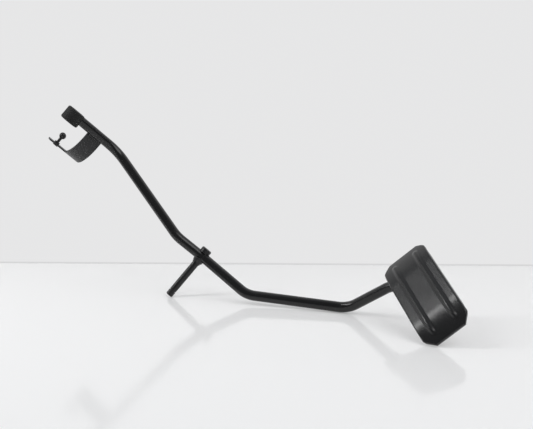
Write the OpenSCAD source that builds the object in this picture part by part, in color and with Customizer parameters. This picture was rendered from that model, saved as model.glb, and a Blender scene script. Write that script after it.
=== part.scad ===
// Accelerator pedal: a bent round bar that carries a pressed foot plate, a cross pin to turn on,
// a rubber buffer on its upper end and a curved strip with a ball stud for the throttle linkage.
//
// The pedal is drawn in its own working frame, with the pivot pin's axis along Y, the pin's free
// end towards -Y and the foot plate facing +Z. It is then laid down on its three lowest points.

/* [Bar] */
// Diameter of the round bar
rod_d = 11; // [9:0.5:12]
// Radius of the bar's bends, at its centre line
rod_bend_r = 32; // [22:1:38]
// How far the bar's top corner lies behind the pivot
top_back = 143; // [138:1:150]
// How high the bar's top corner lies above the pivot
top_rise = 145; // [140:1:150]
// How far the knee below the top run lies behind the pivot
knee_back = 131; // [126:1:135]
// Height of that knee above the pivot
knee_rise = 91; // [87:1:95]
// How far the top run is set sideways from the pivot
top_side = 27; // [20:1:32]
// How far the small bend above the pivot lies behind it
shoulder_back = 23.5; // [21:0.5:28]
// Height of that bend above the pivot
shoulder_rise = 26; // [23:1:30]
// Small sideways step of the bar at its bends round the pivot
weave = 1; // [0:0.25:1.5]
// How far the bend below the pivot lies in front of it
shin_front = 64; // [58:1:70]
// Drop of that bend below the pivot
shin_drop = 31.5; // [28:0.5:35]
// How far the heel bend lies in front of the pivot
heel_front = 147; // [143:1:151]
// Drop of the heel bend below the pivot
heel_drop = 78; // [74:0.5:82]
// How far the heel bend is set sideways from the pivot
heel_side = 62; // [57:0.5:67]

/* [Foot plate] */
// Width of the foot plate
pad_w = 49; // [46:0.5:54]
// Length of the foot plate along its curved face
pad_len = 116.5; // [110:0.5:124]
// Thickness of the sheet
pad_t = 4; // [3:0.25:4.5]
// Length of the flat middle
pad_flat = 50; // [40:1:60]
// Radius at which both ends curve back
pad_end_r = 80; // [70:1:110]
// Cut corner, measured across the plate
corner_across = 9; // [6:0.5:13]
// Cut corner, measured along the plate
corner_along = 9; // [6:0.5:14]
// Distance between the two pressed channels
channel_pitch = 26; // [22:1:28]
// Width of a pressed channel at the foot face
channel_w = 7; // [5:0.25:8]
// Depth of a pressed channel
channel_deep = 1.8; // [1:0.1:2.4]
// How far the channels stop short of the plate's ends
channel_stop = 15; // [12:1:20]
// Plate centre in front of the pivot
pad_front = 229; // [224:1:233]
// Plate centre sideways from the pivot
pad_side = 121.5; // [117:0.5:126]
// Plate face below the pivot
pad_drop = 56; // [52:1:60]
// Turn of the plate about its own upright
pad_yaw = -15.5; // [-20:0.5:-11]
// Lean of the plate about its long axis
pad_roll = -1.2; // [-3:0.1:0]
// Where the bar meets the plate's edge, up from the plate's middle
pad_entry = 39; // [36:1:42]
// Gap between the bar's tail and the ribs that it is welded to
rib_gap = 0.1; // [0.05:0.05:0.25]
// How far outside the plate's edge the bar takes its last bend
entry_out = 1; // [0:0.5:4]
// How far the bar's tail reaches past the plate's middle line
tail_past = 21; // [15:1:22]
// How far down the plate the bar's tail ends, up from the middle
tail_up = -8; // [-12:1:15]

/* [Pivot pin] */
// Diameter of the pin's bearing
pin_d = 8; // [6:0.5:9]
// How far the shoulder at the bar stands out around the bearing
shoulder_w = 0.75; // [0.5:0.25:1.5]
// How far the shoulder reaches past the bar's side
shoulder_out = 4.5; // [4:0.5:7]
// Free end of the pin, from the bar's centre line
pin_reach = 56; // [46:1:60]
// Diameter of the pin where it passes through the bar
pin_tenon_d = 6; // [4:0.5:7]
// Depth of the flat seat at each side of the bar
pin_seat = 1.2; // [0.8:0.1:1.6]
// Diameter of the pin's head
head_d = 12; // [10:0.5:14]
// How far the head stands out from the bar
head_out = 4.5; // [3:0.5:7]
// Distance from the pin's end to the retaining ring groove
clip_back = 6; // [4:0.5:9]
// Width of the retaining ring groove
clip_w = 1.1; // [0.8:0.1:1.5]
// Depth of the retaining ring groove
clip_deep = 0.6; // [0.3:0.1:0.9]
// Chamfer at the pin's ends
pin_chamfer = 0.8; // [0.4:0.1:1.2]

/* [Buffer] */
// Diameter of the rubber buffer
buffer_d = 22; // [19:0.5:26]
// Length of the buffer
buffer_len = 15.5; // [14:0.5:18]
// How far the buffer's middle is set towards the pin's free end
buffer_shift = 2; // [0:0.25:2.5]
// How far the buffer's middle lies past the bar's top corner, up the bar
buffer_up = 10.5; // [9:0.5:12]
// Depth of the socket that takes the bar's end
buffer_socket = 9; // [6:0.5:12]
// Chamfer of the buffer's rims
buffer_chamfer = 1; // [0.5:0.1:1.5]

/* [Linkage strip] */
// Thickness of the strip
strip_t = 1.8; // [1.5:0.1:2.6]
// Width of the strip
strip_w = 20; // [16:1:22]
// Height of the strip's middle above the knee, along the bar
strip_up = 31; // [28:1:34]
// Radius of the strip's curve, at its outer face
strip_r = 30.5; // [26:0.5:34]
// Distance from the bar's centre line to the strip's flat foot
foot_away = 40.5; // [38:0.5:43]
// Length of the flat foot past the curve
foot_len = 12; // [10:0.5:15]
// How far the foot's ear reaches past the strip
ear_reach = 21; // [18:0.5:25]
// Radius of the foot's corners
ear_round = 3; // [1:0.5:4]

/* [Ball stud] */
// Diameter of the ball
ball_d = 8; // [7:0.5:10]
// Height of the ball's centre above the foot
ball_high = 11; // [9:0.5:13]
// Diameter of the neck below the ball
neck_d = 3.5; // [3:0.25:5]
// Diameter of the stud's collar
collar_d = 6.5; // [6:0.25:9]
// Thickness of the collar
collar_t = 2; // [1.5:0.25:3]
// Diameter of the rivet tail through the foot
tail_d = 4; // [3:0.25:5]
// Diameter of the closed rivet head
rivet_d = 6.5; // [6:0.25:8]
// Height of the closed rivet head
rivet_h = 1.2; // [0.8:0.1:2]

/* [Welds] */
// How far the weld at the pin stands out along the pin
pin_weld_h = 3; // [2:0.5:3.5]
// How far the weld at the pin stands out around it
pin_weld_w = 2; // [1:0.1:2.5]
// Width that is left of that weld at its thin edge
pin_weld_edge = 0.4; // [0.2:0.1:0.8]
// Diameter of the weld rods beside the strip
strip_weld_d = 4; // [3:0.25:5]
// Diameter of the welds between the bar's tail and the plate
pad_weld_d = 9; // [8:0.5:10]

/* [Laying down] */
// Heading of the pivot pin over the floor
pin_heading = 9; // [0:0.5:20]
// Shift that centres the pedal over its origin
centre_shift = [-35.1, 52.5]; // [-200:0.1:200]

/* [Hidden] */
$fn = 64;
paint = [0.10, 0.10, 0.11];
rubber = [0.06, 0.06, 0.07];
plated = [0.20, 0.20, 0.21];
rod_r = rod_d / 2;
cut = 1;
lap = 0.7;
hair = 0.03;

// Corners of the bar's centre line, from the upper end down
knee = [-knee_back, top_side - weave, knee_rise];
top_corner = [-top_back, top_side, top_rise];
shoulder_corner = [-shoulder_back, -weave, shoulder_rise];
shin_corner = [shin_front, 2 * weave, -shin_drop];
heel_corner = [heel_front, heel_side, -heel_drop];
along_top = unit(top_corner - knee);
across_top = unit(cross([0, 1, 0], along_top));
rod_end = top_corner + buffer_socket * along_top;
buffer_centre = top_corner + buffer_up * along_top - [0, buffer_shift, 0];

// Foot plate, in its own frame: X down the plate, Y across it, Z out of the foot face
pad_centre = [pad_front, pad_side, -pad_drop];
channel_r = (pow(channel_w / 2, 2) + pow(channel_deep, 2)) / (2 * channel_deep);
channel_lift = channel_r - channel_deep;
pad_end_turn = (pad_len - pad_flat) / 2 / pad_end_r * 180 / PI;
channel_turn = pad_end_turn - channel_stop / pad_end_r * 180 / PI;
pad_end_x = pad_flat / 2 + pad_end_r * sin(pad_end_turn);
pad_depth = pad_t + channel_deep;
rest_r = pad_end_r - pad_depth - rod_r - rib_gap;
low_cross = rib_cross(-channel_pitch / 2);
high_cross = rib_cross(channel_pitch / 2);
entry_corner = pad_point(tail_at(-pad_w / 2 - entry_out));
tail_end = pad_point(tail_at(tail_past));

rod_path = [rod_end, knee, shoulder_corner, [0, 0, 0], shin_corner, heel_corner, entry_corner, tail_end];

// Where the bar's tail crosses a rib on the plate's back, and the tail's centre line at a width y
function rest_z(x) = sqrt(pow(rest_r, 2) - pow(max(0, abs(x) - pad_flat / 2), 2)) - pad_end_r;
function rib_cross(y) =
    let (x = -pad_entry + (pad_entry - tail_up) * (y + pad_w / 2) / (tail_past + pad_w / 2))
    [x, y, rest_z(x)];
function tail_at(y) =
    low_cross + (high_cross - low_cross) * (y - low_cross.y) / (high_cross.y - low_cross.y);

// Linkage strip, in its own frame: X out of the strip's face, Y with the pivot, Z up the bar
strip_origin = knee + strip_up * along_top;
ear_middle = [-strip_r - foot_len / 2, -foot_away, strip_w / 2 + ear_reach / 2];

function unit(v) = v / norm(v);
function spin_x(p, a) = [p.x, p.y * cos(a) - p.z * sin(a), p.y * sin(a) + p.z * cos(a)];
function spin_z(p, a) = [p.x * cos(a) - p.y * sin(a), p.x * sin(a) + p.y * cos(a), p.z];
function pad_point(p) = pad_centre + spin_z(spin_x(p, pad_roll), pad_yaw);
function columns(x, y, z, at) = [
    [x.x, y.x, z.x, at.x],
    [x.y, y.y, z.y, at.y],
    [x.z, y.z, z.z, at.z]
];

// Lowest points of the pin's end, the heel bend and the foot plate for a given upward direction
pin_tip = [0, -pin_reach, 0];
function rim_low(up) = pin_tip - (pin_d / 2 - pin_chamfer) * unit([up.x, 0, up.z]);
function heel_in() = unit(heel_corner - shin_corner);
function heel_out() = unit(entry_corner - heel_corner);
function heel_low(up) = heel_arc_low(up) - rod_r * up;
function heel_arc_low(up) =
    let (
        u = heel_in(),
        w = unit(heel_out() - (u * heel_out()) * u),
        centre = heel_corner - rod_bend_r * tan(acos(u * heel_out()) / 2) * u + rod_bend_r * w
    )
    centre - rod_bend_r * unit((up * u) * u + (up * w) * w);
function pad_rim(side, depth) = pad_point([
    pad_flat / 2 + (pad_end_r - depth) * sin(pad_end_turn),
    side * (pad_w / 2 - corner_across + depth * sin(pad_end_turn) * corner_across / corner_along),
    (pad_end_r - depth) * cos(pad_end_turn) - pad_end_r
]);
function pad_side_rim(side, depth) = pad_point([
    pad_end_x - corner_along,
    side * pad_w / 2,
    sqrt(pow(pad_end_r - depth, 2) - pow(pad_end_x - corner_along - pad_flat / 2, 2)) - pad_end_r
]);
function lowest(points, up, i = 0) =
    i == len(points) - 1 ? points[i]
    : let (rest = lowest(points, up, i + 1)) points[i] * up < rest * up ? points[i] : rest;
function pad_corners() = [
    for (side = [-1, 1], depth = [0, pad_t])
        each [pad_rim(side, depth), pad_side_rim(side, depth)]
];
function rib_low(side, up) = pad_point([
    pad_flat / 2 + (pad_end_r + channel_lift) * sin(channel_turn),
    side * channel_pitch / 2,
    (pad_end_r + channel_lift) * cos(channel_turn) - pad_end_r
]) - (channel_r + pad_t) * up;
function pad_low(up) = lowest(concat(pad_corners(), [for (side = [-1, 1]) rib_low(side, up)]), up);
function settle(up, turns) =
    turns == 0 ? up
    : let (a = rim_low(up), b = heel_low(up), c = pad_low(up)) settle(unit(cross(c - a, b - a)), turns - 1);
first_up = unit([-0.6, 0.76, 0.57]);
settle_turns = 6;
floor_up = settle(first_up, settle_turns);
pin_level = unit([0, 1, 0] - floor_up.y * floor_up);
pin_left = cross(floor_up, pin_level);
floor_x = cos(pin_heading) * pin_level - sin(pin_heading) * pin_left;
floor_y = cross(floor_up, floor_x);
floor_drop = -(heel_low(floor_up) * floor_up);

module lay_down() {
    multmatrix([
        [floor_x.x, floor_x.y, floor_x.z, centre_shift.x],
        [floor_y.x, floor_y.y, floor_y.z, centre_shift.y],
        [floor_up.x, floor_up.y, floor_up.z, floor_drop]
    ]) children();
}

module on_pad() {
    translate(pad_centre) rotate([0, 0, pad_yaw]) rotate([pad_roll, 0, 0]) children();
}

module on_strip() {
    multmatrix(columns(across_top, [0, 1, 0], along_top, strip_origin)) children();
}

module bar(from, to, d) {
    along = to - from;
    translate(from)
        rotate([0, acos(along.z / norm(along)), atan2(along.y, along.x)])
            cylinder(d = d, h = norm(along));
}

// Turn of the path at corner i, and the length that its bend takes off each side
function path_dir(path, i) = unit(path[i + 1] - path[i]);
function path_turn(path, i) = acos(path_dir(path, i - 1) * path_dir(path, i));
function bend_reach(path, i) =
    i == 0 || i == len(path) - 1 ? 0 : rod_bend_r * tan(path_turn(path, i) / 2);

module bend(path, i) {
    u = path_dir(path, i - 1);
    v = path_dir(path, i);
    w = unit(v - (u * v) * u);
    centre = path[i] - bend_reach(path, i) * u + rod_bend_r * w;
    multmatrix(columns(-w, u, cross(u, w), centre))
        rotate_extrude(angle = path_turn(path, i))
            translate([rod_bend_r, 0])
                circle(d = rod_d);
}

// Straight runs end a little inside the bends and are a hair thinner, so no two surfaces coincide
module bent_bar() {
    for (i = [0 : len(rod_path) - 2]) {
        from = max(0, bend_reach(rod_path, i) - lap);
        to = max(0, bend_reach(rod_path, i + 1) - lap);
        bar(rod_path[i] + from * path_dir(rod_path, i), rod_path[i + 1] - to * path_dir(rod_path, i),
            rod_d - 2 * hair);
    }
    for (i = [1 : len(rod_path) - 2])
        bend(rod_path, i);
}

// Collar of weld where the pin's shoulder leaves the bar
module pin_weld() {
    shoulder_r = pin_d / 2 + shoulder_w;
    translate([0, -rod_r / 2, 0])
        rotate([90, 0, 0])
            cylinder(r1 = shoulder_r + pin_weld_w, r2 = shoulder_r + pin_weld_edge, h = rod_r / 2 + pin_weld_h);
}

// Weld along both faces of the strip's root
module strip_weld() {
    on_strip() difference() {
        for (face = [-strip_t, 0])
            translate([face, -rod_r, -strip_w / 2 + strip_weld_d / 2])
                cylinder(d = strip_weld_d, h = strip_w - strip_weld_d);
        strip_root();
    }
}

// Welds between the bar's tail and the ribs on the plate's back
module pad_weld() {
    on_pad() difference() {
        for (cross = [low_cross, high_cross])
            translate(cross)
                cylinder(d = pad_weld_d, h = -cross.z);
        channel_ribs();
    }
}

module pedal_rod() {
    color(paint) lay_down() {
        difference() {
            union() {
                bent_bar();
                pin_weld();
            }
            pin_solid();
        }
        strip_weld();
        pad_weld();
    }
}

// One pressed channel's centre line as a solid of radius r: a straight run and two curved, round ends
module channel_solid(r) {
    translate([-pad_flat / 2 - lap, 0, channel_lift])
        rotate([0, 90, 0])
            cylinder(r = r - hair, h = pad_flat + 2 * lap);
    for (end = [0, 1])
        mirror([end, 0, 0])
            translate([pad_flat / 2, 0, -pad_end_r])
                multmatrix(columns([0, 0, 1], [1, 0, 0], [0, 1, 0], [0, 0, 0])) {
                    rotate_extrude(angle = channel_turn)
                        translate([pad_end_r + channel_lift, 0])
                            circle(r = r);
                    rotate([0, 0, channel_turn])
                        translate([pad_end_r + channel_lift, 0, 0])
                            sphere(r = r - hair);
                }
}

// Both channels as seen from the plate's back
module channel_ribs() {
    for (side = [-1, 1])
        translate([0, side * channel_pitch / 2, 0])
            channel_solid(channel_r + pad_t);
}

// Layer of the plate between two depths below the foot face: flat, with both ends curved back
module pad_layer(top, bottom) {
    translate([-pad_flat / 2, -pad_w / 2, -bottom])
        cube([pad_flat, pad_w, bottom - top]);
    for (end = [0, 1])
        mirror([end, 0, 0])
            translate([pad_flat / 2, 0, -pad_end_r])
                multmatrix(columns([0, 0, 1], [1, 0, 0], [0, 1, 0], [0, 0, 0]))
                    rotate_extrude(angle = pad_end_turn)
                        translate([pad_end_r - bottom, -pad_w / 2])
                            square([bottom - top, pad_w]);
}

module pad_outline() {
    x = pad_end_x;
    y = pad_w / 2;
    polygon([
        [x - corner_along, -y], [x, -y + corner_across], [x, y - corner_across], [x - corner_along, y],
        [corner_along - x, y], [-x, y - corner_across], [-x, corner_across - y], [corner_along - x, -y]
    ]);
}

module pad_solid() {
    difference() {
        intersection() {
            union() {
                pad_layer(0, pad_t);
                intersection() {
                    pad_layer(pad_t / 2, pad_depth + cut);
                    channel_ribs();
                }
            }
            translate([0, 0, -pad_end_r])
                linear_extrude(height = pad_end_r + cut)
                    pad_outline();
        }
        for (side = [-1, 1])
            translate([0, side * channel_pitch / 2, 0])
                channel_solid(channel_r);
    }
}

module pad_plate() {
    color(paint) lay_down() on_pad() pad_solid();
}

// Turned pin, revolved about Y: bearing, ring groove, shoulder, tenon through the bar and round head
module pin_solid() {
    bearing_r = pin_d / 2;
    groove_r = bearing_r - clip_deep;
    tenon_r = pin_tenon_d / 2;
    head_r = head_d / 2;
    shoulder_r = bearing_r + shoulder_w;
    shoulder = rod_r + shoulder_out;
    seat = rod_r - pin_seat;
    groove = pin_reach - clip_back;
    rotate([90, 0, 0])
        rotate_extrude()
            polygon([
                [0, pin_reach], [bearing_r - pin_chamfer, pin_reach], [bearing_r, pin_reach - pin_chamfer],
                [bearing_r, groove], [groove_r, groove], [groove_r, groove - clip_w],
                [bearing_r, groove - clip_w], [bearing_r, shoulder], [shoulder_r, shoulder],
                [shoulder_r, seat], [tenon_r, seat], [tenon_r, -seat],
                [head_r, -seat], [head_r, pin_chamfer - rod_r - head_out],
                [head_r - pin_chamfer, -rod_r - head_out], [0, -rod_r - head_out]
            ]);
}

module pivot_pin() {
    color(plated) lay_down() pin_solid();
}

module end_buffer() {
    r = buffer_d / 2;
    h = buffer_len / 2;
    color(rubber) lay_down() difference() {
        translate(buffer_centre)
            rotate([90, 0, 0])
                rotate_extrude()
                    polygon([
                        [0, -h], [r - buffer_chamfer, -h], [r, buffer_chamfer - h],
                        [r, h - buffer_chamfer], [r - buffer_chamfer, h], [0, h]
                    ]);
        bar(knee, rod_end, rod_d);
    }
}

module strip_root() {
    translate([-strip_t, strip_r - foot_away - strip_t / 2, -strip_w / 2])
        cube([strip_t, foot_away + strip_t / 2 - strip_r, strip_w]);
}

// Strip that leaves the bar's side, curves away in a quarter turn and ends in a flat foot with an ear
module strip_solid() {
    on_strip() difference() {
        union() {
            strip_root();
            translate([-strip_r, strip_r - foot_away - strip_t / 2, -strip_w / 2])
                rotate([0, 0, -90])
                    rotate_extrude(angle = 90)
                        translate([strip_r - strip_t, 0])
                            square([strip_t, strip_w]);
            translate([-strip_r, -foot_away + strip_t / 2, -strip_w / 2])
                rotate([90, 0, 0])
                    linear_extrude(height = strip_t)
                        foot_outline();
        }
        translate([0, 0, -strip_w])
            cylinder(d = rod_d, h = 2 * strip_w);
        translate(ear_middle)
            rotate([90, 0, 0])
                cylinder(d = tail_d, h = 2 * strip_t, center = true);
    }
}

// Flat foot: as long as the strip is wide, and on by the ear, with rounded free corners
module foot_outline() {
    long = strip_w + ear_reach;
    difference() {
        translate([-foot_len, 0])
            square([foot_len, long]);
        for (corner = [[-foot_len, 0, 0], [-foot_len, long, 270], [0, long, 180]])
            translate([corner.x, corner.y])
                rotate(corner.z)
                    difference() {
                        translate([-cut, -cut])
                            square(ear_round + cut);
                        translate([ear_round, ear_round])
                            circle(r = ear_round);
                    }
    }
}

module link_bracket() {
    color(paint) lay_down() strip_solid();
}

// Ball, neck, collar, tail and closed rivet head as one turned piece, standing up from the foot
module ball_stud() {
    face = strip_t / 2;
    color(plated) lay_down() on_strip() translate(ear_middle) rotate([-90, 0, 0]) {
        translate([0, 0, face + ball_high])
            sphere(d = ball_d);
        translate([0, 0, face])
            cylinder(d = neck_d, h = ball_high);
        translate([0, 0, face])
            cylinder(d = collar_d, h = collar_t);
        translate([0, 0, -face])
            cylinder(d = tail_d, h = strip_t);
        translate([0, 0, -face - rivet_h])
            cylinder(d = rivet_d, h = rivet_h);
    }
}

pedal_rod();
pad_plate();
pivot_pin();
end_buffer();
link_bracket();
ball_stud();
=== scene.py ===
import math

import bpy
import bmesh
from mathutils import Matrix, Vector


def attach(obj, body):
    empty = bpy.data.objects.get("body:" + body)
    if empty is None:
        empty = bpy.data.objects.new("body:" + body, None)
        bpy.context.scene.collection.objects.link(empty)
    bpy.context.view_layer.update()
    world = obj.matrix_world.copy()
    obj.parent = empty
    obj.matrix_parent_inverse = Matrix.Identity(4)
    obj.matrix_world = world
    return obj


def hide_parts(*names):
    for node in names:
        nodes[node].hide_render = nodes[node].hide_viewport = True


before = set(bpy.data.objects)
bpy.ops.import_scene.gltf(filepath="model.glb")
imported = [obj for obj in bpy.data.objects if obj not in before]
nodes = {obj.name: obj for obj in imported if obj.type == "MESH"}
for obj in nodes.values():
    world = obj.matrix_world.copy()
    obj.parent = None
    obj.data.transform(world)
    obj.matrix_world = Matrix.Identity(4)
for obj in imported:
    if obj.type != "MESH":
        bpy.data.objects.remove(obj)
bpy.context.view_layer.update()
scene = bpy.context.scene
MM = 0.001

# The working frame in which the pedal is drawn, laid down on the floor (same numbers as the solids)
FLOOR_X = Vector((0.425943, 0.656684, -0.622365))
FLOOR_Y = Vector((-0.868501, 0.104009, -0.484653))
FLOOR_UP = Vector((-0.253533, 0.746959, 0.614632))
PIVOT = Vector((-35.1, 52.5, 43.9573))


def lay(p):
    """Point of the working frame, in mm, as a point on the floor's frame, in metres."""
    p = Vector(p)
    return Vector((FLOOR_X.dot(p) + PIVOT.x, FLOOR_Y.dot(p) + PIVOT.y, FLOOR_UP.dot(p) + PIVOT.z)) * MM


def turn(v):
    """Direction of the working frame, as a direction in the floor's frame."""
    v = Vector(v)
    return Vector((FLOOR_X.dot(v), FLOOR_Y.dot(v), FLOOR_UP.dot(v)))


KNEE = Vector((-131, 26, 91))
TOP = Vector((-143, 27, 145))
ALONG = (TOP - KNEE).normalized()
ACROSS = Vector((0, 1, 0)).cross(ALONG).normalized()
STRIP_UP = 31
STRIP = KNEE + STRIP_UP * ALONG
PIN_AXIS = turn((0, -1, 0))
ROD_R, SHOULDER_R, STRIP_T, STRIP_W = 5.5, 4.75, 1.8, 20

# Camera
cam = bpy.data.cameras.new("camera")
cam.sensor_fit = "HORIZONTAL"
cam.sensor_width = 36
cam.lens = 66.49
cam.clip_start, cam.clip_end = 0.05, 20
camera = bpy.data.objects.new("camera", cam)
camera.location = (-0.0143, -1.0092, 0.2879)
camera.rotation_euler = [math.radians(a) for a in (79.4253, 0.4654, -2.8506)]
scene.collection.objects.link(camera)
scene.camera = camera


# Node helpers
class Graph:
    """A material's node tree; sockets and plain values can be given alike."""

    def __init__(self, name):
        self.material = bpy.data.materials.new(name)
        self.material.use_nodes = True
        self.tree = self.material.node_tree
        self.tree.nodes.clear()
        self.out = self.add("ShaderNodeOutputMaterial")

    def add(self, kind, **settings):
        node = self.tree.nodes.new(kind)
        for key, value in settings.items():
            setattr(node, key, value)
        return node

    def put(self, node, socket, value):
        if isinstance(value, bpy.types.NodeSocket):
            self.tree.links.new(value, node.inputs[socket])
        else:
            node.inputs[socket].default_value = value

    def math(self, operation, a, b=None):
        node = self.add("ShaderNodeMath", operation=operation)
        self.put(node, 0, a)
        if b is not None:
            self.put(node, 1, b)
        return node.outputs[0]

    def dot(self, a, b):
        node = self.add("ShaderNodeVectorMath", operation="DOT_PRODUCT")
        self.put(node, 0, a)
        self.put(node, 1, b)
        return node.outputs["Value"]

    def noise(self, where, scale, detail, rough):
        node = self.add("ShaderNodeTexNoise")
        self.put(node, "Vector", where)
        self.put(node, "Scale", scale)
        self.put(node, "Detail", detail)
        self.put(node, "Roughness", rough)
        return node.outputs["Fac"]

    def fit(self, value, lo, hi, out_lo, out_hi):
        node = self.add("ShaderNodeMapRange", clamp=True)
        self.put(node, "Value", value)
        names = ("From Min", "From Max", "To Min", "To Max")
        for socket, number in zip(names, (lo, hi, out_lo, out_hi)):
            self.put(node, socket, number)
        return node.outputs["Result"]

    def mix(self, factor, a, b):
        node = self.add("ShaderNodeMix", data_type="RGBA")
        self.put(node, "Factor", factor)
        for socket, value in ((6, a), (7, b)):
            self.put(node, socket, value if isinstance(value, bpy.types.NodeSocket) else (*value, 1))
        return node.outputs[2]

    def bump(self, height, strength, distance, normal=None):
        node = self.add("ShaderNodeBump")
        self.put(node, "Height", height)
        self.put(node, "Strength", strength)
        self.put(node, "Distance", distance)
        if normal is not None:
            self.put(node, "Normal", normal)
        return node.outputs["Normal"]

    def shader(self, **sockets):
        node = self.add("ShaderNodeBsdfPrincipled")
        for socket, value in sockets.items():
            name = socket.replace("_", " ")
            self.put(node, name, (*value, 1) if isinstance(value, tuple) else value)
        self.tree.links.new(node.outputs[0], self.out.inputs["Surface"])


def edge_mask(g, radius, sharp_lo, sharp_hi):
    """1 along outer edges, from how far a rounded normal leaves the true one."""
    soft = g.add("ShaderNodeBevel", samples=6)
    g.put(soft, "Radius", radius)
    true = g.add("ShaderNodeNewGeometry").outputs["Normal"]
    aligned = g.dot(soft.outputs[0], true)
    return g.fit(g.math("SUBTRACT", 1.0, aligned), sharp_lo, sharp_hi, 0.0, 1.0)


def black_paint(name, shine, dark, light, peel_depth):
    g = Graph(name)
    where = g.add("ShaderNodeTexCoord").outputs["Object"]
    cloud = g.noise(where, 38, 3.0, 0.55)
    peel = g.noise(where, 620, 1.5, 0.45)
    grain = g.noise(where, 3400, 2.0, 0.6)
    dust = g.fit(g.noise(where, 900, 4.0, 0.7), 0.66, 0.80, 0.0, 1.0)
    worn = g.math("MULTIPLY", edge_mask(g, 0.0009, 0.012, 0.10),
                  g.fit(g.noise(where, 260, 4.0, 0.65), 0.46, 0.64, 0.0, 1.0))
    body = g.mix(cloud, (dark, dark, dark * 1.05), (light, light, light * 1.05))
    body = g.mix(g.math("MULTIPLY", dust, 0.06), body, (0.06, 0.06, 0.058))
    colour = g.mix(g.math("MULTIPLY", worn, 0.5), body, (0.075, 0.073, 0.07))
    rough = g.fit(cloud, 0.3, 0.7, shine, shine + 0.06)
    rough = g.math("ADD", rough, g.math("MULTIPLY", dust, 0.10))
    rough = g.math("SUBTRACT", rough, g.math("MULTIPLY", worn, 0.06))
    normal = g.bump(peel, 0.10, peel_depth)
    normal = g.bump(grain, 0.06, 0.00001, normal)
    g.shader(Base_Color=colour, Roughness=rough, Normal=normal)
    return g.material


TURNING_FEED = 0.00042  # distance between the turning marks, in metres


def black_plating():
    g = Graph("black_plating")
    where = g.add("ShaderNodeTexCoord").outputs["Object"]
    along = g.dot(where, tuple(PIN_AXIS))
    wander = g.math("MULTIPLY", g.noise(where, 900, 2.0, 0.5), 1.4)
    phase = g.math("MULTIPLY", along, 2 * math.pi / TURNING_FEED)
    rings = g.math("SINE", g.math("ADD", phase, wander))
    stain = g.noise(where, 120, 4.0, 0.6)
    fine = g.noise(where, 5200, 2.0, 0.6)
    worn = g.math("MULTIPLY", edge_mask(g, 0.0006, 0.01, 0.12), g.fit(stain, 0.42, 0.62, 0.0, 1.0))
    colour = g.mix(stain, (0.0075, 0.0076, 0.008), (0.013, 0.013, 0.0135))
    colour = g.mix(g.math("MULTIPLY", worn, 0.6), colour, (0.07, 0.069, 0.066))
    rough = g.fit(stain, 0.3, 0.7, 0.27, 0.38)
    normal = g.bump(rings, 0.16, 0.00004)
    normal = g.bump(fine, 0.12, 0.00002, normal)
    g.shader(Base_Color=colour, Roughness=rough, Normal=normal)
    return g.material


def black_rubber():
    g = Graph("black_rubber")
    where = g.add("ShaderNodeTexCoord").outputs["Object"]
    skin = g.noise(where, 1400, 4.0, 0.65)
    bloom = g.noise(where, 150, 3.0, 0.6)
    faded = g.fit(bloom, 0.35, 0.7, 0.0, 1.0)
    colour = g.mix(faded, (0.0085, 0.0085, 0.009), (0.015, 0.015, 0.0152))
    rough = g.fit(skin, 0.3, 0.7, 0.62, 0.78)
    normal = g.bump(skin, 0.3, 0.00006)
    g.shader(Base_Color=colour, Roughness=rough, Specular_IOR_Level=0.4, Normal=normal)
    return g.material


def weld_paint():
    g = Graph("weld_paint")
    where = g.add("ShaderNodeTexCoord").outputs["Object"]
    cloud = g.noise(where, 90, 3.0, 0.6)
    spatter = g.noise(where, 1100, 3.0, 0.6)
    colour = g.mix(cloud, (0.007, 0.007, 0.0075), (0.012, 0.012, 0.0125))
    g.shader(Base_Color=colour, Roughness=g.fit(cloud, 0.3, 0.7, 0.34, 0.46),
             Normal=g.bump(spatter, 0.25, 0.00010))
    return g.material


BAR_PAINT = black_paint("black_paint_bar", 0.14, 0.0065, 0.0095, 0.00005)
PLATE_PAINT = black_paint("black_paint_plate", 0.21, 0.010, 0.015, 0.00006)
STRIP_PAINT = black_paint("black_paint_strip", 0.34, 0.014, 0.018, 0.00004)
PLATING, RUBBER, WELD = black_plating(), black_rubber(), weld_paint()


# The solids
EDGE_ANGLE, EDGE_STEPS = math.radians(32), 3


def dress(name, material, width):
    """Material and small rounded edges for one of the solids."""
    part = nodes[name]
    part.data.materials.clear()
    part.data.materials.append(material)
    for face in part.data.polygons:
        face.material_index = 0
        face.use_smooth = True
    weld = part.modifiers.new("weld", "WELD")
    weld.merge_threshold = 0.000002
    bevel = part.modifiers.new("bevel", "BEVEL")
    bevel.width = width
    bevel.segments = EDGE_STEPS
    bevel.limit_method = "ANGLE"
    bevel.angle_limit = EDGE_ANGLE
    bevel.use_clamp_overlap = True
    bevel.miter_outer = "MITER_ARC"
    flat = part.modifiers.new("normals", "WEIGHTED_NORMAL")
    flat.keep_sharp = False
    flat.weight = 60


dress("pedal_rod", BAR_PAINT, 0.0003)
dress("pivot_pin", PLATING, 0.0002)
dress("end_buffer", RUBBER, 0.0005)
dress("link_bracket", STRIP_PAINT, 0.0003)
dress("ball_stud", PLATING, 0.0002)


# Weld beads
def bead(name, point_at, rings, columns, capped):
    """A round skin of rings x columns points; point_at(i, j) gives each in metres."""
    mesh = bpy.data.meshes.new(name)
    bm = bmesh.new()
    grid = [[bm.verts.new(point_at(i, j)) for j in range(columns)] for i in range(rings)]
    for i in range(rings - 1):
        for j in range(columns):
            k = (j + 1) % columns
            bm.faces.new((grid[i][j], grid[i][k], grid[i + 1][k], grid[i + 1][j]))
    if capped:
        bm.faces.new(grid[0])
        bm.faces.new(grid[-1])
    bmesh.ops.recalc_face_normals(bm, faces=bm.faces)
    for face in bm.faces:
        face.smooth = True
    bm.to_mesh(mesh)
    bm.free()
    mesh.materials.append(WELD)
    piece = bpy.data.objects.new(name, mesh)
    scene.collection.objects.link(piece)
    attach(piece, "root")


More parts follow.
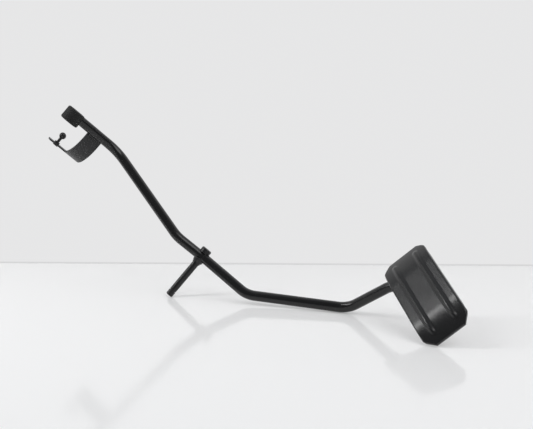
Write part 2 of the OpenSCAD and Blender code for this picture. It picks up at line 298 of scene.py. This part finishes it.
def scale_step(t, count):
    """Overlapping scales of a weld: a slow rise and a quick drop, count times for t from 0 to 1."""
    u = (t * count) % 1.0
    return u / 0.75 if u < 0.75 else (1 - u) / 0.25


# The pin's weld is a cone round the shoulder: its width falls from WELD_W to WELD_EDGE
PIN_RINGS, PIN_COLUMNS, PIN_SCALES = 13, 168, 16
WELD_FROM, WELD_TO = 3.3, 8.35
WELD_W, WELD_EDGE, WELD_H = 2, 0.4, 3
RIM_SINK = 0.35


def pin_bead(i, j):
    t, a = i / (PIN_RINGS - 1), 2 * math.pi * j / PIN_COLUMNS
    out = WELD_FROM + t * (WELD_TO - WELD_FROM)
    fall = (out - ROD_R / 2) / (ROD_R / 2 + WELD_H)
    cone = SHOULDER_R + WELD_W + (WELD_EDGE - WELD_W) * fall
    scales = 0.14 * scale_step(j / PIN_COLUMNS + 0.06 * t, PIN_SCALES)
    lift = 0.16 * math.sin(math.pi * t) + scales
    r = cone + lift - (RIM_SINK if i in (0, PIN_RINGS - 1) else 0)
    return lay((r * math.cos(a), -out, r * math.sin(a)))


bead("pin_weld_bead", pin_bead, PIN_RINGS, PIN_COLUMNS, False)

# The strip's two welds are round rods along its faces, with tapered ends
ROD_RINGS, ROD_COLUMNS, ROD_SCALES = 121, 14, 9
WELD_ROD_R, WELD_INSET = 1.93, 1.9


def strip_bead(face):
    def at(i, j):
        t, a = i / (ROD_RINGS - 1), 2 * math.pi * j / ROD_COLUMNS
        along = -STRIP_W / 2 + WELD_INSET + t * (STRIP_W - 2 * WELD_INSET)
        end = min(1.0, 6 * t, 6 * (1 - t))
        scales = 0.22 * scale_step(t + 0.012 * math.cos(a), ROD_SCALES)
        r = (WELD_ROD_R + scales) * math.sqrt(max(0.02, end))
        x, y = face + r * math.cos(a), -ROD_R + r * math.sin(a)
        return lay(STRIP + x * ACROSS + Vector((0, y, 0)) + along * ALONG)
    return at


bead("strip_weld_bead_outer", strip_bead(0), ROD_RINGS, ROD_COLUMNS, True)
bead("strip_weld_bead_inner", strip_bead(-STRIP_T), ROD_RINGS, ROD_COLUMNS, True)


# Foot plate
# Stands in for the solid pad_plate, which has grooves where this has raised beads.
# Sizes in mm, in the plate's own frame: x down the plate, y to the right, z out of the foot face.
PAD_AT = Vector((229, 121.5, -56))
PAD_YAW, PAD_ROLL = math.radians(-15.5), math.radians(-1.2)
PAD_FLAT, PAD_R, PAD_T = 25.0, 80.0, 4.0
PAD_TOP, PAD_LOW = -60.0, 57.3
PAD_LEFT, PAD_RIGHT = -24.9, 25.1
RIGHT_FLARE = 0.7  # how much wider the right side is at the lower end
CORNER, CORNER_SOFT, ROLL = 9.0, 2.6, 1.7
TOP_LEFT_LESS, TOP_RIGHT_LESS = 0.3, 1.5  # how much smaller the upper corner cuts are
CUT_SLOPE = 0.71  # distance to a cut edge, for one step along y
BEADS = ((-11.6, -46.5, 42.5), (13.6, -46.5, 42.5))  # y, upper end, lower end
BEAD_W, BEAD_H = 4.3, 1.9
UPPER_TAPER, LOWER_TAPER = 0.8, 0.55
RIB_Y, RIB_R, RIB_LIFT, RIB_END = 13.0, 8.303, 2.503, 42.6
# Rims behind the long edges; the right one also covers the end of the bar's tail
RIM_W, RIM_RIGHT, RIM_LEFT = 2.6, 4.0, 1.4
RIM_END, RIM_FADE = 44, 8
ROWS, COLUMNS = 138, 94
END_ROWS, EDGE_COLUMN = (0.12, 0.35, 1.2), 0.15
CREASE = math.radians(50)


def pad_frame(x, y, z):
    c, s = math.cos(PAD_ROLL), math.sin(PAD_ROLL)
    y, z = y * c - z * s, y * s + z * c
    c, s = math.cos(PAD_YAW), math.sin(PAD_YAW)
    x, y = x * c - y * s, x * s + y * c
    return lay(PAD_AT + Vector((x, y, z)))


def bent(x, y, z):
    """A point z above the foot face, over the plan point x, y: the ends of the face curve back."""
    past = max(0.0, abs(x) - PAD_FLAT)
    run = past * (PAD_R + z) / PAD_R
    drop = math.sqrt(PAD_R ** 2 - past ** 2) / PAD_R
    far = math.copysign(min(abs(x), PAD_FLAT) + run, x)
    return pad_frame(far, y, (PAD_R + z) * drop - PAD_R)


def soft_min(a, b, k):
    """The smaller of a and b, rounded where they are less than k apart."""
    h = max(0.0, min(1.0, 0.5 + 0.5 * (b - a) / k))
    return b + (a - b) * h - k * h * (1 - h)


def side_at(x, side):
    """Where the plate's left or right side lies at x, with its corners cut."""
    end = PAD_LOW if x > 0 else -PAD_TOP
    flare = RIGHT_FLARE * (x - PAD_TOP) / (PAD_LOW - PAD_TOP)
    full = PAD_RIGHT + flare if side > 0 else -PAD_LEFT
    less = TOP_RIGHT_LESS if side > 0 else TOP_LEFT_LESS
    cut = CORNER if x > 0 else CORNER - less
    return soft_min(full, full - (abs(x) - end + cut), CORNER_SOFT)


def inside_by(x, y):
    """Distance from a plan point to the plate's nearest edge."""
    right, left = side_at(x, 1) - y, y + side_at(x, -1)
    slope = CUT_SLOPE if (x > PAD_LOW - CORNER or x < PAD_TOP + CORNER) else 1.0
    return max(0.0, min(right * slope, left * slope, PAD_LOW - x, x - PAD_TOP))


def front(x, y):
    """Height of the foot side over the foot face."""
    z = 0.0
    for middle_y, start, stop in BEADS:
        beyond = max(0.0, UPPER_TAPER * (start - x), LOWER_TAPER * (x - stop))
        r = math.hypot(y - middle_y, beyond)
        if r < BEAD_W:
            z += BEAD_H * math.cos(math.pi * r / (2 * BEAD_W)) ** 2
    d = inside_by(x, y)
    return z - (ROLL - math.sqrt(ROLL ** 2 - (ROLL - d) ** 2) if d < ROLL else 0.0)


def back(x, y):
    """Height of the rear side, with its ribs and rims; below zero."""
    deep = PAD_T
    for side in (-1, 1):
        r = math.hypot(y - side * RIB_Y, max(0.0, abs(x) - RIB_END))
        if r < RIB_R:
            deep = max(deep, math.sqrt(RIB_R ** 2 - r ** 2) - RIB_LIFT)
    fade = max(0.0, min(1.0, (RIM_END - abs(x)) / RIM_FADE))
    right, left = side_at(x, 1) - y, y + side_at(x, -1)
    if right < RIM_W:
        deep = max(deep, PAD_T + RIM_RIGHT * fade)
    if left < RIM_W:
        deep = max(deep, PAD_T + RIM_LEFT * fade)
    return -deep


def foot_plate():
    rows = [PAD_TOP + (PAD_LOW - PAD_TOP) * i / ROWS for i in range(ROWS + 1)]
    rows += [PAD_TOP + d for d in END_ROWS] + [PAD_LOW - d for d in END_ROWS]
    rows.sort()
    cols = COLUMNS
    mesh = bpy.data.meshes.new("foot_plate")
    bm = bmesh.new()
    grids = []
    for height in (front, back):
        grid = []
        for x in rows:
            lo, hi = -side_at(x, -1), side_at(x, 1)
            points = [lo + (hi - lo) * j / cols for j in range(cols + 1)]
            points[1], points[-2] = lo + EDGE_COLUMN, hi - EDGE_COLUMN
            grid.append([bm.verts.new(bent(x, y, height(x, y))) for y in points])
        grids.append(grid)
    top, low = grids
    for i in range(len(rows) - 1):
        for j in range(cols):
            bm.faces.new((top[i][j], top[i + 1][j], top[i + 1][j + 1], top[i][j + 1]))
            bm.faces.new((low[i][j], low[i][j + 1], low[i + 1][j + 1], low[i + 1][j]))
        bm.faces.new((top[i][0], low[i][0], low[i + 1][0], top[i + 1][0]))
        bm.faces.new((top[i][cols], top[i + 1][cols], low[i + 1][cols], low[i][cols]))
    for j in range(cols):
        bm.faces.new((top[0][j], top[0][j + 1], low[0][j + 1], low[0][j]))
        bm.faces.new((top[-1][j], low[-1][j], low[-1][j + 1], top[-1][j + 1]))
    bmesh.ops.recalc_face_normals(bm, faces=bm.faces)
    for face in bm.faces:
        face.smooth = True
    for edge in bm.edges:
        if len(edge.link_faces) == 2 and edge.calc_face_angle() > CREASE:
            edge.smooth = False
    bm.to_mesh(mesh)
    bm.free()
    mesh.materials.append(PLATE_PAINT)
    piece = bpy.data.objects.new("foot_plate", mesh)
    scene.collection.objects.link(piece)
    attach(piece, "root")
    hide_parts("pad_plate")


foot_plate()


# Floor, wall and light
def plane(name, corners, material):
    mesh = bpy.data.meshes.new(name)
    mesh.from_pydata(corners, [], [tuple(range(len(corners)))])
    mesh.materials.append(material)
    piece = bpy.data.objects.new(name, mesh)
    scene.collection.objects.link(piece)


def seen_directly(g):
    """1 for camera and mirror rays: the glow is seen and mirrored, but adds no diffuse light."""
    path = g.add("ShaderNodeLightPath")
    return g.math("MAXIMUM", path.outputs["Is Camera Ray"], path.outputs["Is Glossy Ray"])


FLOOR_GLOW = 0.22  # tuned against the tones of the photograph's floor


def floor_material():
    g = Graph("glossy_floor")
    glow = g.math("MULTIPLY", seen_directly(g), FLOOR_GLOW)
    g.shader(Base_Color=(0.80, 0.80, 0.80), Roughness=0.10, IOR=1.40,
             Emission_Color=(1.0, 1.0, 1.0), Emission_Strength=glow)
    return g.material


def wall_material():
    g = Graph("pale_wall")
    # Painted shade: a thin darker line painted into the wall's glow where the wall meets the floor
    height = g.add("ShaderNodeSeparateXYZ")
    g.put(height, 0, g.add("ShaderNodeTexCoord").outputs["Object"])
    foot = g.fit(height.outputs["Z"], 0.001, 0.0025, 0.0, 1.0)
    glow = g.add("ShaderNodeEmission")
    g.put(glow, "Color", g.mix(foot, (0.66, 0.66, 0.665), (0.795, 0.795, 0.800)))
    g.put(glow, "Strength", 1.0)
    plain = g.add("ShaderNodeBsdfDiffuse")
    g.put(plain, "Color", (0.78, 0.78, 0.785, 1))
    both = g.add("ShaderNodeMixShader")
    g.put(both, 0, seen_directly(g))
    g.tree.links.new(plain.outputs[0], both.inputs[1])
    g.tree.links.new(glow.outputs[0], both.inputs[2])
    # From behind, the wall lets the pedal be seen
    one_sided = g.add("ShaderNodeMixShader")
    g.put(one_sided, 0, g.add("ShaderNodeNewGeometry").outputs["Backfacing"])
    g.tree.links.new(both.outputs[0], one_sided.inputs[1])
    g.tree.links.new(g.add("ShaderNodeBsdfTransparent").outputs[0], one_sided.inputs[2])
    g.tree.links.new(one_sided.outputs[0], g.out.inputs["Surface"])
    return g.material


# The floor meets the wall along a line that runs a little towards the camera on the right
left, right = Vector((-0.2948, 0.2270, 0)), Vector((0.3705, 0.1551, 0))
line = (right - left).normalized()
middle = (left + right) / 2
away = Vector((-line.y, line.x, 0))
HALF, WALL_H = 3, 0.45
far_left, far_right = middle - HALF * line, middle + HALF * line
plane("floor", [far_left - HALF * away, far_right - HALF * away,
                far_right + HALF * away, far_left + HALF * away], floor_material())
rise = Vector((0, 0, WALL_H))
plane("wall", [far_left, far_right, far_right + rise, far_left + rise], wall_material())


def softbox(name, place, target, width, depth, power):
    lamp = bpy.data.lights.new(name, "AREA")
    lamp.shape = "RECTANGLE"
    lamp.size, lamp.size_y = width, depth
    lamp.energy = power
    piece = bpy.data.objects.new(name, lamp)
    piece.location = place
    aim = Vector(target) - Vector(place)
    piece.rotation_euler = aim.to_track_quat("-Z", "Y").to_euler()
    scene.collection.objects.link(piece)


softbox("overhead", (0.80, -0.62, 1.25), (0.12, 0.0, 0.0), 1.5, 0.9, 9)
softbox("key_left", (-0.780, -0.028, 0.754), (0.18, -0.10, 0.04), 0.15, 0.80, 3.5)

# The world is darker on the camera's side; the camera itself sees it plain white
world = bpy.data.worlds.new("studio")
scene.world = world
world.use_nodes = True
tree = world.node_tree
background = tree.nodes["Background"]
background.inputs["Color"].default_value = (0.9, 0.92, 0.95, 1)
way = tree.nodes.new("ShaderNodeTexCoord")
parts = tree.nodes.new("ShaderNodeSeparateXYZ")
tree.links.new(way.outputs["Generated"], parts.inputs[0])
ramp = tree.nodes.new("ShaderNodeMapRange")
WORLD_RAMP = (("From Min", -0.2), ("From Max", 0.15), ("To Min", 0.20), ("To Max", 0.52))
for socket, number in WORLD_RAMP:
    ramp.inputs[socket].default_value = number
tree.links.new(parts.outputs["Y"], ramp.inputs["Value"])
tree.links.new(ramp.outputs["Result"], background.inputs["Strength"])
white = tree.nodes.new("ShaderNodeBackground")
white.inputs["Color"].default_value = (0.8, 0.8, 0.805, 1)
seen = tree.nodes.new("ShaderNodeLightPath")
blend = tree.nodes.new("ShaderNodeMixShader")
tree.links.new(seen.outputs["Is Camera Ray"], blend.inputs[0])
tree.links.new(background.outputs[0], blend.inputs[1])
tree.links.new(white.outputs[0], blend.inputs[2])
tree.links.new(blend.outputs[0], tree.nodes["World Output"].inputs["Surface"])

scene.view_settings.view_transform = "Standard"

bpy.context.view_layer.update()
